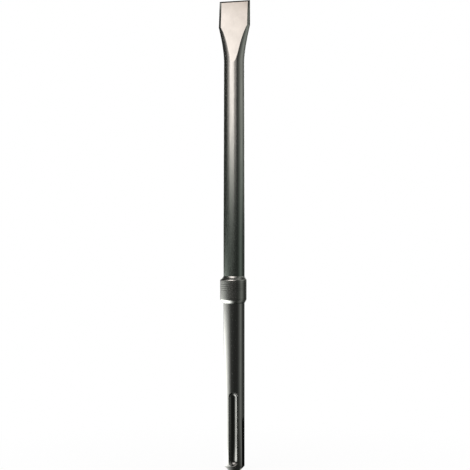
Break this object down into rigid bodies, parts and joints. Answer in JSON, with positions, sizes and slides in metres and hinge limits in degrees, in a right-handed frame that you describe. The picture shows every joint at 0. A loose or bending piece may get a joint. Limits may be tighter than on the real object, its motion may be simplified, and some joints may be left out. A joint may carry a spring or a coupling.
{
  "type": "flat demolition chisel",
  "caption": "Flat demolition chisel of forged steel for an electric hammer, with ground blade faces, a round shaft, a stop collar and a slotted shank.",
  "frame": {"origin": "centre of the flat shank end, the face that the hammer strikes", "axes": "+Z along the tool from the shank end to the cutting edge, X across the width of the blade, -Y out of the front ground face and the front locking groove"},
  "size_m": [0.0268, 0.0226, 0.4006],
  "materials": {
    "forged_steel": "oiled forging, bright ground blade faces",
    "turned_steel": "turned steel"
  },
  "bodies": {
    "root": {"chisel_bar": "forged_steel", "stop_collar": "turned_steel"}
  },
  "joints": []
}
